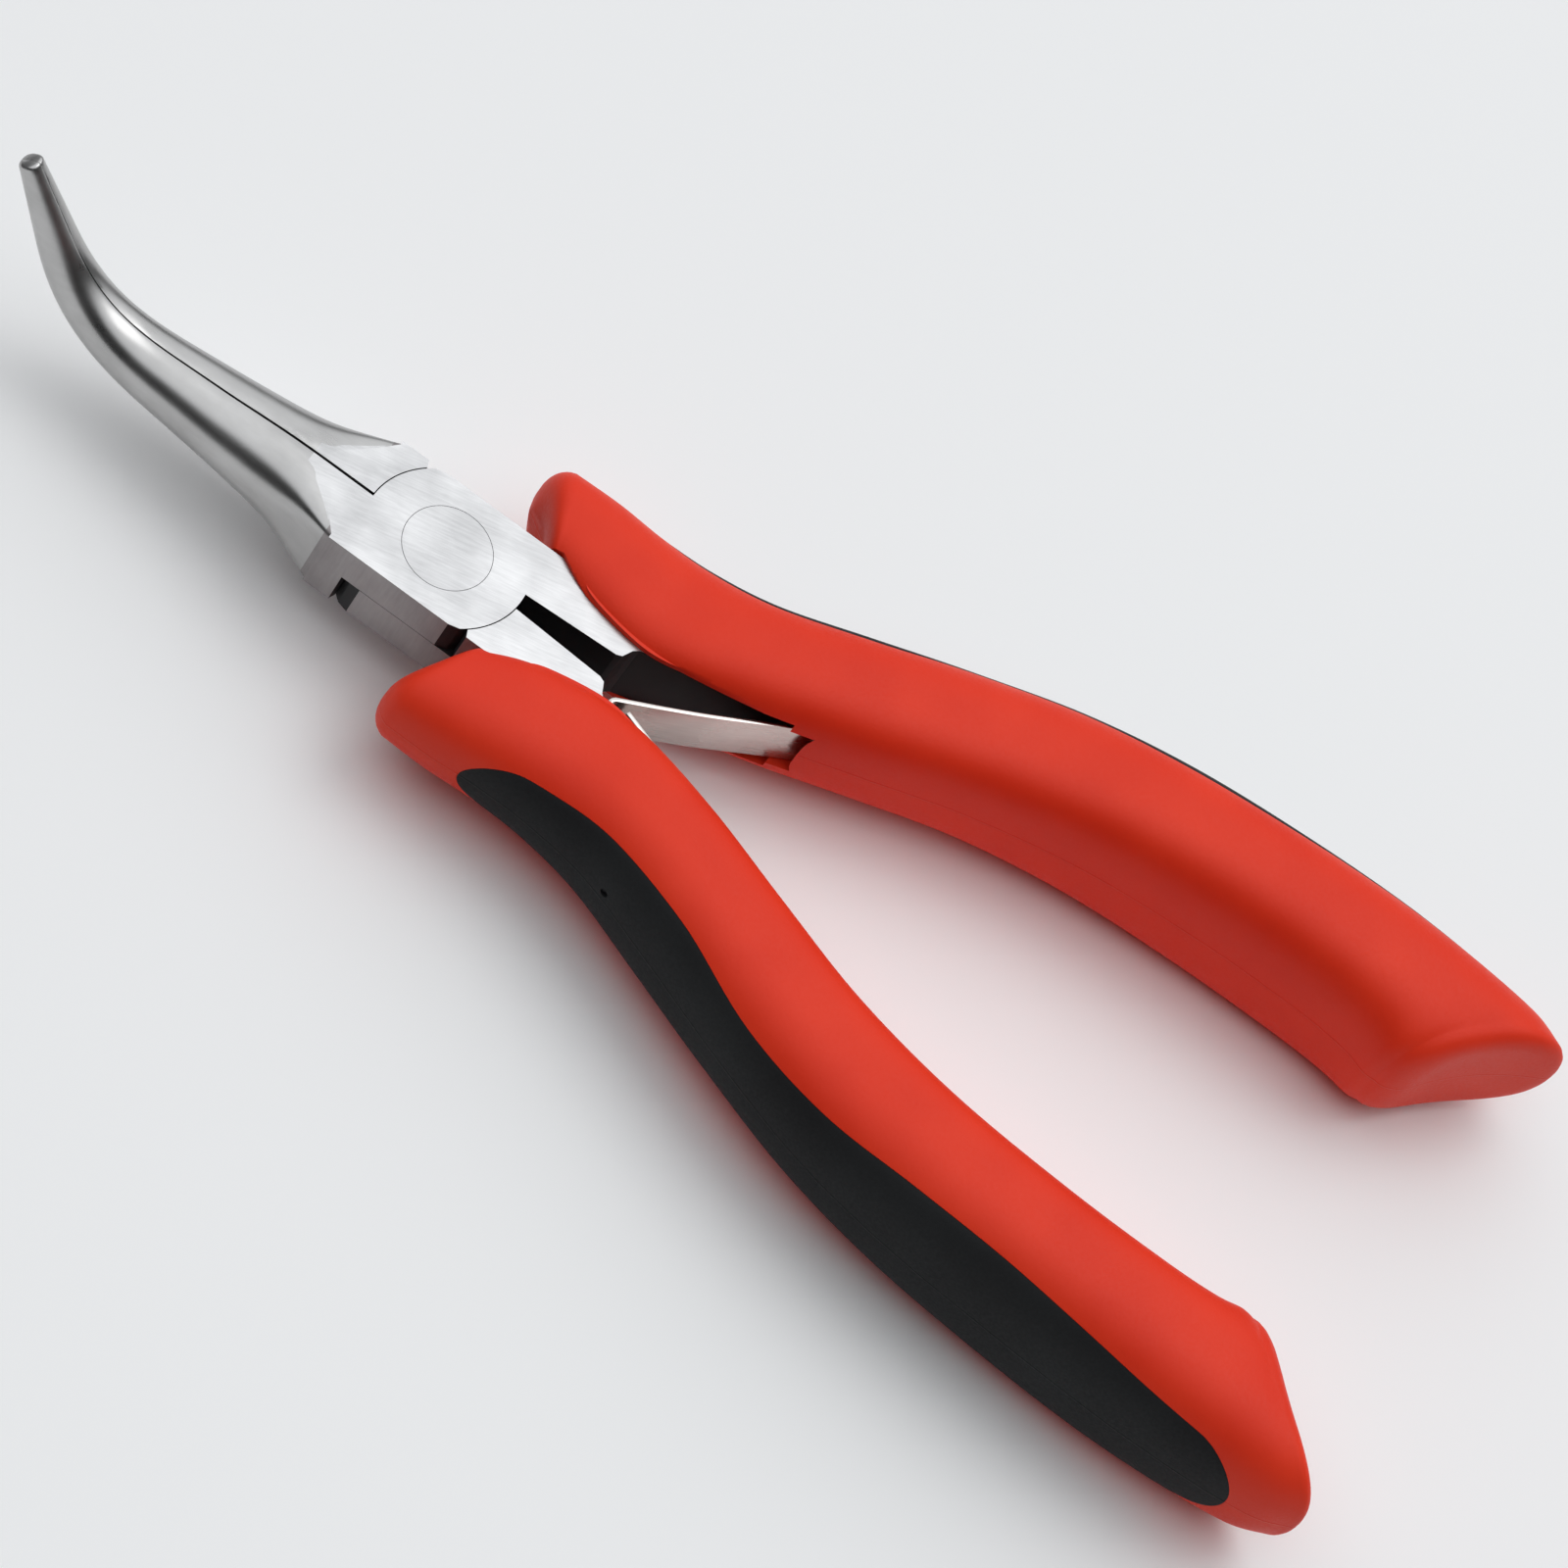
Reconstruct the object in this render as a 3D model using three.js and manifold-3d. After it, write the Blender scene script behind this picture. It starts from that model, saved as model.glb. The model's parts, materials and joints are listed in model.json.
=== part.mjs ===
// Bent needle nose pliers: a lap joint, two leaf return springs and two-material grips.
// Millimetres. +X runs along the tool to the tip of the nose, and +Z is the pivot's axis, on the
// side that the nose bends to. The origin is on the pivot's axis at the joint's flat underside.
// Shapes are drawn about the joint's mid-plane and the whole tool is raised at the end.
import * as THREE from 'three';
import { mergeVertices } from 'three/addons/utils/BufferGeometryUtils.js';
import Module from 'manifold-3d';

const wasm = await Module();
wasm.setup();

// Joint: two forged levers lapped half over half and turning on a flush rivet.
const HALF_WIDTH = 6.7;
const HALF_THICKNESS = 4.15;
const LAP_RADIUS = 8.3;
const LAP_GAP = 0.2;
const SHOULDER_RADIUS = 8.5;
const SHOULDER_SIDE_X = 6.25;
const RIVET_RADIUS = 4.4;
const RIVET_CLEARANCE = 0.08;
const BLOCK_END_X = 9.2;

// Jaws: half-round, tapering, bent towards +Z near the tip.
const JAW_LENGTH = 47.5;
const JAW_ROOT_WIDTH = 6.0;
const SEAM_AT_JOINT = 0.18;
const SEAM_AT_TIP = 0.06;
const BEND_ANGLE = THREE.MathUtils.degToRad(54);
const BEND_START = 20;
const BEND_LENGTH = 20;

// Handles: the plate ends inside the grip, and a narrower tang runs on down its middle.
const SLOT_END_X = -18.6;
const PLATE_END_X = -37;
const TANG_HALF_THICKNESS = 2.6;
const FIT_GAP = 0.3;

// Grips: sections from the front of the handle to its tail. Each row is the inner edge's x and y,
// the outer edge's x and y, and the half height.
const GRIP_SECTIONS = [
  [-8.6, 5.6, -5.1, 16.8, 5.2],
  [-12, 4.2, -10.2, 16.8, 5.7],
  [-16, 3.2, -15.5, 16.4, 6.0],
  [-20.5, 2.8, -21, 16.5, 6.2],
  [-26, 3.7, -28, 17.6, 6.8],
  [-34, 6.0, -37, 20.9, 7.2],
  [-43, 9.2, -47, 24.8, 7.2],
  [-54, 13.1, -58, 28.4, 7.5],
  [-66, 15.9, -69, 30.3, 8.3],
  [-79, 17.2, -81, 31.2, 8.9],
  [-90, 17.4, -93, 31.7, 9.0],
  [-95.5, 16.9, -103.1, 31.5, 8.6],
  [-98.1, 16.1, -109.8, 30.8, 8.2],
  [-99.4, 16.1, -113.1, 29.2, 7.8],
];
const GRIP_STEPS = 28;
const GRIP_SIDES = 22;
const NOSE_BULGE = 2.7;
const TAIL_HOLLOW = 1.5;
const TAIL_ROUNDING = 1.8;
const OUTER_POWER = 2.4;
const INNER_POWER = 3.3;
const LIP_LINE = [[-8.8, 6.9], [-11.4, 5.4], [-14, 4.4], [-19.9, 3.5], [-24.4, 4.2], [-29.4, 5.2], [-35.4, 6.6]];
const INSERT_THICKNESS = 1.6;

// Leaf springs: strips that start in a pocket of each handle and meet just behind the joint.
const LEAF_THICKNESS = 0.5;
const LEAF_HALF_WIDTH = 3.0;
const UPPER_LEAF_PATH = [[-41.5, -10.6], [-38.5, -9.1], [-35.3, -7.2], [-28, -2.5], [-20.1, 2.1]];
const LOWER_LEAF_PATH = [[-41.5, 10.6], [-38.5, 9.1], [-35.3, 7.2], [-29, 4.6], [-22.4, 2.2]];

const forgedSteel = new THREE.MeshStandardMaterial({ color: 0x9a9896, roughness: 0.35, metalness: 1 });
const rivetSteel = new THREE.MeshStandardMaterial({ color: 0xc8c8ca, roughness: 0.3, metalness: 1 });
const springSteel = new THREE.MeshStandardMaterial({ color: 0xb4b0aa, roughness: 0.3, metalness: 1 });
const redPlastic = new THREE.MeshStandardMaterial({ color: 0xd8402a, roughness: 0.5, metalness: 0 });
const blackRubber = new THREE.MeshStandardMaterial({ color: 0x232426, roughness: 0.75, metalness: 0 });

// --- small tools -------------------------------------------------------------------------------

function toSolid(geometry) {
  const bare = geometry.index ? geometry.toNonIndexed() : geometry.clone();
  for (const name of Object.keys(bare.attributes)) {
    if (name !== 'position') bare.deleteAttribute(name);
  }
  const merged = mergeVertices(bare, 1e-4);
  return new wasm.Manifold(new wasm.Mesh({
    numProp: 3,
    vertProperties: new Float32Array(merged.attributes.position.array),
    triVerts: new Uint32Array(merged.index.array),
  }));
}

function toMesh(name, solid, material) {
  const mesh = solid.getMesh();
  const geometry = new THREE.BufferGeometry();
  geometry.setAttribute('position', new THREE.BufferAttribute(new Float32Array(mesh.vertProperties), 3));
  geometry.setIndex(new THREE.BufferAttribute(new Uint32Array(mesh.triVerts), 1));
  geometry.computeVertexNormals();
  const result = new THREE.Mesh(geometry, material);
  result.name = name;
  return result;
}

// A closed skin over rings of equal length, with a fan over each end.
function loft(rings) {
  const sides = rings[0].length;
  const points = rings.flat();
  const triangles = [];
  for (let r = 0; r + 1 < rings.length; r++) {
    for (let i = 0; i < sides; i++) {
      const a = r * sides + i;
      const b = r * sides + (i + 1) % sides;
      triangles.push([a, b, b + sides], [a, b + sides, a + sides]);
    }
  }
  const ends = [[rings[0], 0, false], [rings.at(-1), (rings.length - 1) * sides, true]];
  for (const [ring, first, last] of ends) {
    const middle = ring.reduce((sum, p) => sum.add(p), new THREE.Vector3()).divideScalar(sides);
    const centre = points.push(middle) - 1;
    for (let i = 0; i < sides; i++) {
      const a = first + i;
      const b = first + (i + 1) % sides;
      triangles.push(last ? [a, b, centre] : [b, a, centre]);
    }
  }
  return fromTriangles(points, triangles);
}

function fromTriangles(points, triangles) {
  let volume = 0;
  for (const [a, b, c] of triangles) {
    volume += points[a].dot(new THREE.Vector3().crossVectors(points[b], points[c]));
  }
  const ordered = volume < 0 ? triangles.map(([a, b, c]) => [a, c, b]) : triangles;
  const geometry = new THREE.BufferGeometry();
  geometry.setAttribute('position', new THREE.Float32BufferAttribute(points.flatMap((p) => p.toArray()), 3));
  geometry.setIndex(ordered.flat());
  return geometry;
}

// The same shape on the other handle: y changes sign, and so does the order of each triangle.
function mirrored(geometry) {
  const bare = geometry.index ? geometry.toNonIndexed() : geometry.clone();
  const from = bare.attributes.position;
  const flipped = [];
  for (let i = 0; i < from.count; i += 3) {
    for (const j of [i, i + 2, i + 1]) flipped.push(from.getX(j), -from.getY(j), from.getZ(j));
  }
  const geometry2 = new THREE.BufferGeometry();
  geometry2.setAttribute('position', new THREE.Float32BufferAttribute(flipped, 3));
  return geometry2;
}

// A plan outline extruded from one height to another.
function slab(shape, low, high) {
  const geometry = new THREE.ExtrudeGeometry(shape, { depth: high - low, bevelEnabled: false, curveSegments: 20 });
  return geometry.translate(0, 0, low);
}

function outline(points) {
  return new THREE.Shape(points.map(([x, y]) => new THREE.Vector2(x, y)));
}

function smooth(points, count) {
  const curve = new THREE.SplineCurve(points.map(([x, y]) => new THREE.Vector2(x, y)));
  return curve.getPoints(count).map((p) => [p.x, p.y]);
}

// A strip of even width on both sides of a path, as a closed outline.
function stripOutline(path, halfWidth) {
  const left = [];
  const right = [];
  path.forEach(([x, y], i) => {
    const [x0, y0] = path[Math.max(i - 1, 0)];
    const [x1, y1] = path[Math.min(i + 1, path.length - 1)];
    const length = Math.hypot(x1 - x0, y1 - y0);
    const nx = -(y1 - y0) / length * halfWidth;
    const ny = (x1 - x0) / length * halfWidth;
    left.push([x + nx, y + ny]);
    right.unshift([x - nx, y - ny]);
  });
  return outline([...left, ...right]);
}

// --- levers ------------------------------------------------------------------------------------

// The jaw's centre line in the XZ plane, at a distance s from the joint block.
function jawSpine(steps) {
  const spine = [];
  let x = BLOCK_END_X - 0.2;
  let z = 0;
  const ds = JAW_LENGTH / steps;
  for (let i = 0; i <= steps; i++) {
    const s = i * ds;
    const turn = BEND_ANGLE * THREE.MathUtils.smoothstep(s, BEND_START, BEND_START + BEND_LENGTH);
    spine.push({ s, x, z, turn });
    const middle = BEND_ANGLE * THREE.MathUtils.smoothstep(s + ds / 2, BEND_START, BEND_START + BEND_LENGTH);
    x += ds * Math.cos(middle);
    z += ds * Math.sin(middle);
  }
  return spine;
}

// A half-round section that is square where it leaves the joint block.
function jawRing({ s, x, z, turn }, shrink = 0) {
  const squareness = Math.exp(-((s / 3.2) ** 1.5));
  const power = 2.4 + 12 * squareness;
  const width = JAW_ROOT_WIDTH - 0.1167 * s + 0.0003 * s * s + (HALF_WIDTH - JAW_ROOT_WIDTH) * squareness - shrink;
  const height = HALF_THICKNESS - 0.036 * s - 0.0006 * s * s - shrink;
  const seam = THREE.MathUtils.lerp(SEAM_AT_JOINT, SEAM_AT_TIP, s / JAW_LENGTH);
  const ring = [];
  const arcSides = 16;
  for (let i = 0; i <= arcSides; i++) {
    const angle = -Math.PI / 2 + Math.PI * i / arcSides;
    const across = Math.abs(Math.cos(angle)) ** (2 / power);
    const up = Math.sign(Math.sin(angle)) * Math.abs(Math.sin(angle)) ** (2 / power) * height;
    const y = seam + across * (width - seam);
    ring.push(new THREE.Vector3(x - up * Math.sin(turn), y, z + up * Math.cos(turn)));
  }
  return ring;
}

function jawGeometry() {
  const spine = jawSpine(26);
  const rings = spine.map((station) => jawRing(station));
  const tip = spine.at(-1);
  const rounding = 0.25;
  const end = { ...tip, x: tip.x + rounding * Math.cos(tip.turn), z: tip.z + rounding * Math.sin(tip.turn) };
  rings.push(jawRing(end, rounding));
  return loft(rings);
}

// Plan of the lever whose jaw is at +Y: jaw block, lap disc, handle root and plate.
function plateShape() {
  const lapAngle = Math.asin(HALF_WIDTH / LAP_RADIUS);
  const slotAngle = Math.asin(0.95 / LAP_RADIUS);
  const shape = new THREE.Shape();
  shape.moveTo(BLOCK_END_X, SEAM_AT_JOINT);
  shape.lineTo(BLOCK_END_X, HALF_WIDTH);
  shape.lineTo(-LAP_RADIUS * Math.cos(lapAngle), HALF_WIDTH);
  shape.absarc(0, 0, LAP_RADIUS, Math.PI - lapAngle, Math.PI + slotAngle, false);
  shape.lineTo(SLOT_END_X, -1.55);
  shape.quadraticCurveTo(-19.1, -3.2, -20.8, -3.7);
  shape.lineTo(-32.5, -7.3);
  shape.lineTo(-35, -8.3);
  shape.lineTo(PLATE_END_X, -9.6);
  shape.lineTo(PLATE_END_X, -12.9);
  shape.lineTo(-28, -9.7);
  shape.lineTo(-16, -8.4);
  shape.lineTo(-9, -HALF_WIDTH);
  shape.lineTo(LAP_RADIUS * Math.cos(lapAngle), -HALF_WIDTH);
  shape.absarc(0, 0, LAP_RADIUS, -lapAngle, 0, false);
  shape.lineTo(LAP_RADIUS, SEAM_AT_JOINT);
  return shape;
}

// What the other lever's half of the joint needs, below the lap face.
function lapClearance() {
  const front = [];
  for (let i = 0; i <= 10; i++) {
    const angle = Math.PI / 4 * i / 10;
    front.push([SHOULDER_RADIUS * Math.cos(angle), SHOULDER_RADIUS * Math.sin(angle)]);
  }
  front.push([SHOULDER_SIDE_X, HALF_WIDTH], [SHOULDER_SIDE_X, HALF_WIDTH + 1]);
  const back = front.map(([x, y]) => [-x, -y]);
  const points = [...front, [-9.5, HALF_WIDTH + 1], [-9.5, 0], ...back, [9.5, -HALF_WIDTH - 1], [9.5, 0]];
  return slab(outline(points), -HALF_THICKNESS - 1, LAP_GAP / 2);
}

function tangPath() {
  return smooth([[-34, 10.4], [-48, 17.4], [-60, 21], [-74, 23.4], [-92, 24]], 10);
}

function leverPlate() {
  const hole = new THREE.CylinderGeometry(1, 1, 4 * HALF_THICKNESS, 64).rotateX(Math.PI / 2);
  hole.scale(RIVET_RADIUS + RIVET_CLEARANCE, RIVET_RADIUS + RIVET_CLEARANCE, 1);
  const tang = mirrored(slab(stripOutline(tangPath(), 2.5), -TANG_HALF_THICKNESS, TANG_HALF_THICKNESS));
  return toSolid(slab(plateShape(), -HALF_THICKNESS, HALF_THICKNESS))
    .subtract(toSolid(lapClearance()))
    .subtract(toSolid(hole))
    .add(toSolid(tang));
}

function fromSolid(solid) {
  return toMesh('', solid, forgedSteel).geometry;
}

function upperLever() {
  return leverPlate().add(toSolid(jawGeometry()));
}

// The lower lever's joint and handle are the upper one's turned half over about the X axis, but
// its jaw is the mirror image, because both jaws bend to the same side.
function lowerLever() {
  const turned = fromSolid(leverPlate()).rotateX(Math.PI);
  return toSolid(turned).add(toSolid(mirrored(jawGeometry())));
}

function pivotRivet() {
  const pin = new THREE.CylinderGeometry(RIVET_RADIUS, RIVET_RADIUS, 2 * HALF_THICKNESS, 64);
  return toSolid(pin.rotateX(Math.PI / 2));
}

// --- grips, drawn for the handle at +Y ---------------------------------------------------------

// The section at a share t of the way down the handle, with its outer side and its top and bottom
// drawn in by an inset.
function gripSection(t, inset = 0) {
  const place = t * (GRIP_SECTIONS.length - 1);
  const [xi, yi, xo, yo, height] = [0, 1, 2, 3, 4].map((column) => {
    const values = GRIP_SECTIONS.map((row, i) => new THREE.Vector2(i, row[column]));
    return new THREE.SplineCurve(values).getPoint(place / (GRIP_SECTIONS.length - 1)).y;
  });
  const inner = new THREE.Vector2(xi, yi);
  const outer = new THREE.Vector2(xo, yo);
  const across = outer.clone().sub(inner).normalize();
  outer.addScaledVector(across, -inset);
  return { inner, outer, across, height: height - inset };
}

// One ring of a section: boxier on the inner side, where the lever lies open, and rounder outside.
function gripRing(section, scale = 1, forward = () => 0) {
  const middle = section.inner.clone().add(section.outer).multiplyScalar(0.5);
  const half = section.outer.distanceTo(section.inner) / 2;
  const ahead = new THREE.Vector2(section.across.y, -section.across.x);
  const ring = [];
  for (let i = 0; i < GRIP_SIDES; i++) {
    const angle = 2 * Math.PI * i / GRIP_SIDES;
    const power = Math.cos(angle) < 0 ? INNER_POWER : OUTER_POWER;
    const u = Math.sign(Math.cos(angle)) * Math.abs(Math.cos(angle)) ** (2 / power);
    const v = Math.sign(Math.sin(angle)) * Math.abs(Math.sin(angle)) ** (2 / power);
    const point = middle.clone().addScaledVector(section.across, u * half * scale);
    point.addScaledVector(ahead, forward(u));
    ring.push(new THREE.Vector3(point.x, point.y, v * section.height * scale));
  }
  return ring;
}

function gripBlank(inset = 0) {
  const rings = [];
  const first = gripSection(0, inset);
  for (const angle of [75, 50, 25].map(THREE.MathUtils.degToRad)) {
    const reach = NOSE_BULGE * Math.sin(angle);
    rings.push(gripRing(first, Math.cos(angle) ** 0.45, (u) => reach * (0.65 + 0.35 * u)));
  }
  for (let i = 0; i <= GRIP_STEPS; i++) {
    const t = i / GRIP_STEPS;
    const hollow = TAIL_HOLLOW * THREE.MathUtils.smoothstep(t, 0.85, 1);
    rings.push(gripRing(gripSection(t, inset), 1, (u) => hollow * (1 - u * u)));
  }
  const last = gripSection(1, inset);
  for (const turn of [30, 60, 90].map(THREE.MathUtils.degToRad)) {
    const drawnIn = 1 - TAIL_ROUNDING * (1 - Math.cos(turn)) / last.height;
    const back = TAIL_ROUNDING * Math.sin(turn);
    rings.push(gripRing(last, drawnIn, (u) => TAIL_HOLLOW * (1 - u * u) - back));
  }
  return loft(rings);
}

// The soft insert's outline in side view, as a half height along the handle.
function insertShape(margin) {
  const top = smooth([[-13, 0], [-15, 3.2], [-20, 4.3], [-28, 5.5], [-38, 6.0], [-48, 5.1], [-58, 5.7],
    [-68, 7.1], [-78, 7.7], [-88, 7.3], [-97, 6.0], [-104, 4.0], [-107.3, 0]], 36);
  const grown = top.map(([x, z], i) => {
    if (i === 0) return [x + margin, 0];
    if (i === top.length - 1) return [x - margin, 0];
    return [x, z + margin];
  });
  const lower = grown.slice(1, -1).reverse().map(([x, z]) => [x, -z]);
  return outline([...grown, ...lower]);
}

// The recess that the insert fills: inside its side view, outside the handle's middle, and no
// deeper than its thickness. It runs on past the skin.
function insertRecess(margin) {
  const side = slab(insertShape(margin), -40, 0).rotateX(Math.PI / 2);
  const middle = gripMiddle().map(([x, y]) => [x, y + 0.6 - margin]);
  const band = outline([...middle, [-125, 45], [0, 45]]);
  return toSolid(side)
    .intersect(toSolid(slab(band, -12, 12)))
    .subtract(toSolid(gripBlank(INSERT_THICKNESS + margin)));
}

function insertSolid() {
  return insertRecess(0).intersect(toSolid(gripBlank()));
}

function gripMiddle() {
  const rows = GRIP_SECTIONS.map(([xi, yi, xo, yo]) => [(xi + xo) / 2, (yi + yo) / 2]);
  return [[0, 10], ...rows, [-125, 20]];
}

// Everything that the lever and the leaf spring need inside a grip.
function gripHollow() {
  const plate = outline([[3, -8], [3, 7], [-9, 7], [-16, 8.7], [-28, 10.0], [-37.3, 13.2], [-37.3, 9.1],
    [-35.4, 8], [-35.4, -8]]);
  const beyondLip = outline([[3, -8], [3, 7], ...LIP_LINE, [-35.4, -8]]);
  const pocket = outline([[-34, -8], [-34, 9], [-38, 11.4], [-43, 13], [-43.6, 10.2], [-40.4, 8.0], [-39.6, 3]]);
  const deep = HALF_THICKNESS + FIT_GAP;
  const wide = LEAF_HALF_WIDTH + FIT_GAP;
  const thin = TANG_HALF_THICKNESS + FIT_GAP;
  return toSolid(slab(plate, -deep, deep))
    .add(toSolid(slab(beyondLip, -12, 12)))
    .add(toSolid(slab(pocket, -wide, wide)))
    .add(toSolid(slab(stripOutline(longer(tangPath()), 2.5 + FIT_GAP), -thin, thin)));
}

// A path run on a little past its last point, so that what lies on it gets room at its end.
function longer(path) {
  const [x1, y1] = path.at(-1);
  return [...path.slice(0, -1), [x1 - FIT_GAP, y1]];
}

function gripSolid() {
  return toSolid(gripBlank()).subtract(gripHollow()).subtract(insertRecess(FIT_GAP));
}

// --- leaf springs ------------------------------------------------------------------------------

function leafSolid(path) {
  return toSolid(slab(stripOutline(path, LEAF_THICKNESS / 2), -LEAF_HALF_WIDTH, LEAF_HALF_WIDTH));
}

// --- the tool ----------------------------------------------------------------------------------

const pliers = new THREE.Group();
pliers.position.z = HALF_THICKNESS;

const grip = gripSolid();
const insert = insertSolid();
pliers.add(
  toMesh('upper_lever', upperLever(), forgedSteel),
  toMesh('lower_lever', lowerLever(), forgedSteel),
  toMesh('pivot_rivet', pivotRivet(), rivetSteel),
  toMesh('lower_grip', grip, redPlastic),
  toMesh('upper_grip', toSolid(mirrored(fromSolid(grip))), redPlastic),
  toMesh('lower_grip_insert', insert, blackRubber),
  toMesh('upper_grip_insert', toSolid(mirrored(fromSolid(insert))), blackRubber),
  toMesh('upper_leaf_spring', leafSolid(UPPER_LEAF_PATH), springSteel),
  toMesh('lower_leaf_spring', leafSolid(LOWER_LEAF_PATH), springSteel),
);

export default pliers;
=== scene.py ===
"""Bent needle nose pliers: the looks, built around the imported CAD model.

Shapes are drawn in millimetres about the joint's mid-plane, with +X towards the tip of the nose,
+Y towards the lower lever's handle and +Z along the pivot, and are moved into the frame at the end.
"""
import math
import json

import bmesh
import bpy
import numpy as np
from mathutils import Matrix, Vector


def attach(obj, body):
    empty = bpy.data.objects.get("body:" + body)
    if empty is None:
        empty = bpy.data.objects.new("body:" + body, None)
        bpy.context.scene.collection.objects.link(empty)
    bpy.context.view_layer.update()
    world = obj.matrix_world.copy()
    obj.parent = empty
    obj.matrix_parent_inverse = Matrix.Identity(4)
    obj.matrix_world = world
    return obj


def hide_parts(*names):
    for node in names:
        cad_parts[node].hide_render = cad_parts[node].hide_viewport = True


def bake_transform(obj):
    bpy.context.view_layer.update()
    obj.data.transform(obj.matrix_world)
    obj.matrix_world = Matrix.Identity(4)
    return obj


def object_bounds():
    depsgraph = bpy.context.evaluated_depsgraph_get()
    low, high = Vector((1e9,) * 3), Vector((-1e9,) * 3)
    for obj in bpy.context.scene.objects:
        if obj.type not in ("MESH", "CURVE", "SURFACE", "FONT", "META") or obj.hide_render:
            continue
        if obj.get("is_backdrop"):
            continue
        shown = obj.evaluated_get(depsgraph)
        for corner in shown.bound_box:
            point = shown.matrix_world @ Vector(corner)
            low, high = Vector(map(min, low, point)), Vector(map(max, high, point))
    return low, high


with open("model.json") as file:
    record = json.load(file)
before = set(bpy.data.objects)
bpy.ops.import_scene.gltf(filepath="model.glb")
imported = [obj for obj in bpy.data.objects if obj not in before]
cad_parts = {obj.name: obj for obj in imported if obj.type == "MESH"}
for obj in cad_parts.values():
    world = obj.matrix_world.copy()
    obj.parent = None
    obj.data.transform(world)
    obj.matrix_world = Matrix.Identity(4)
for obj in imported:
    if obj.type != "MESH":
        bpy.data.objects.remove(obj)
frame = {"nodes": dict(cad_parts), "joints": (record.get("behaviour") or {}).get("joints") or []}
cad_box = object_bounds()

MM = 0.001
PIVOT = next(j for j in frame["joints"] if j["name"] == "jaw_pivot")["pos_m"]
MID_PLANE = PIVOT[2] / MM
LOWER = "lower"
UPPER = "upper"

# Joint: the jaw block, the lap disc with its corners cut back, and the shoulder that clears it.
HALF_WIDTH = 6.7
HALF_THICKNESS = MID_PLANE
LAP_RADIUS = 8.3
LAP_GAP = 0.06
LAP_CORNER_START = 4.2
LAP_CORNER_END = 5.3
SLOT_HALF_WIDTH = 0.95
SHOULDER_RADIUS = 8.42
SHOULDER_SIDE_X = 6.25
RIVET_RADIUS = 4.4
RIVET_GAP = 0.05
BLOCK_END_X = 9.0
PLATE_END_X = -37
CUT_MARGIN = 1
EDGE_BEVEL = 0.1

# Jaws: width and height fall off along the length, and the section turns from square to round.
JAW_LENGTH = 47.5
JAW_ROOT_WIDTH = 6.0
WIDTH_SLOPE = -0.1167
WIDTH_CURVE = 0.0003
HEIGHT_SLOPE = -0.036
HEIGHT_CURVE = -0.0006
ROUND_POWER = 2.35
SQUARE_POWER = 14.35
SQUARE_LENGTH = 2.8
TIP_ROUNDING = 0.3
SEAM_AT_JOINT = 0.16
SEAM_AT_TIP = 0.02
BEND_ANGLE = math.radians(54)
BEND_START = 20.0
BEND_LENGTH = 20.0
GROUND_LENGTH = 6.2
GROUND_ROOT_SHARE = 0.97

# Grips: inner edge x and y, outer edge x and y, half height, from front to tail.
GRIP_SECTIONS = [
    (-8.6, 5.6, -5.1, 16.8, 5.2),
    (-12, 4.2, -10.2, 16.8, 5.7),
    (-16, 3.2, -15.5, 16.4, 6.0),
    (-20.5, 2.8, -21, 16.5, 6.2),
    (-26, 3.7, -28, 17.6, 6.8),
    (-34, 6.0, -37, 20.9, 7.2),
    (-43, 9.2, -47, 24.8, 7.2),
    (-54, 13.1, -58, 28.4, 7.5),
    (-66, 15.9, -69, 30.3, 8.3),
    (-79, 17.2, -81, 31.2, 8.9),
    (-90, 17.4, -93, 31.7, 9.0),
    (-95.5, 16.9, -103.1, 31.5, 8.6),
    (-98.1, 16.1, -109.8, 30.8, 8.2),
    (-99.4, 16.1, -113.3, 29.4, 7.9),
]
OUTER_POWER = 2.4
INNER_POWER = 3.3
GRIP_STEPS = 130
GRIP_SIDES = 72
NOSE_BULGE = 2.7
TAIL_HOLLOW = 1.5
TAIL_ROUNDING = 2.1
TAIL_WAY = (-0.96, -0.28)
TAIL_HALF_SIZE = 7.5
LIP_LINE = [(-8.8, 6.9), (-11.4, 5.4), (-14, 4.4), (-19.9, 3.5),
            (-24.4, 4.2), (-29.4, 5.2), (-35.4, 6.6)]
LIP_HALF_WIDTH = 0.5
LIP_THICKNESS = 0.6
PLATE_GAP = 0.04
TANG_HALF_WIDTH = 2.5
TANG_HALF_HEIGHT = 2.6

# The soft insert's half height along the outer side of a grip, and how long its round ends are.
INSERT_PROFILE = [(-13, 3.5), (-20, 4.2), (-28, 5.2), (-38, 5.7), (-48, 5.0), (-58, 5.6),
                  (-68, 6.8), (-78, 7.3), (-88, 7.0), (-97, 6.2), (-107.2, 5.0)]
INSERT_END_LENGTH = 5.5
INSERT_DEPTH = 1.5
INSERT_PROUD = 0.1
RECESS_GAP = 0.03
GATE = (-30.0, 1.0)
GATE_RADIUS = 0.42
GATE_DEPTH = (18.0, 22.0)

# Leaf springs, from the pocket in the handle to the tip behind the joint.
LEAF_THICKNESS = 0.45
LEAF_HALF_WIDTH = 3.0
UPPER_LEAF = [(-42, -10.7), (-38.5, -9.3), (-35.3, -7.4), (-28, -2.6), (-20.6, 1.75)]
LOWER_LEAF = [(-42, 10.7), (-38.5, 9.3), (-35.3, 7.4), (-29, 4.6), (-22.2, 2.1)]
HOOK_RADIUS = 0.62
HOOK_CENTRE = (-20.95, 2.3)


# --- geometry helpers ----------------------------------------------------------------------------

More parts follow.
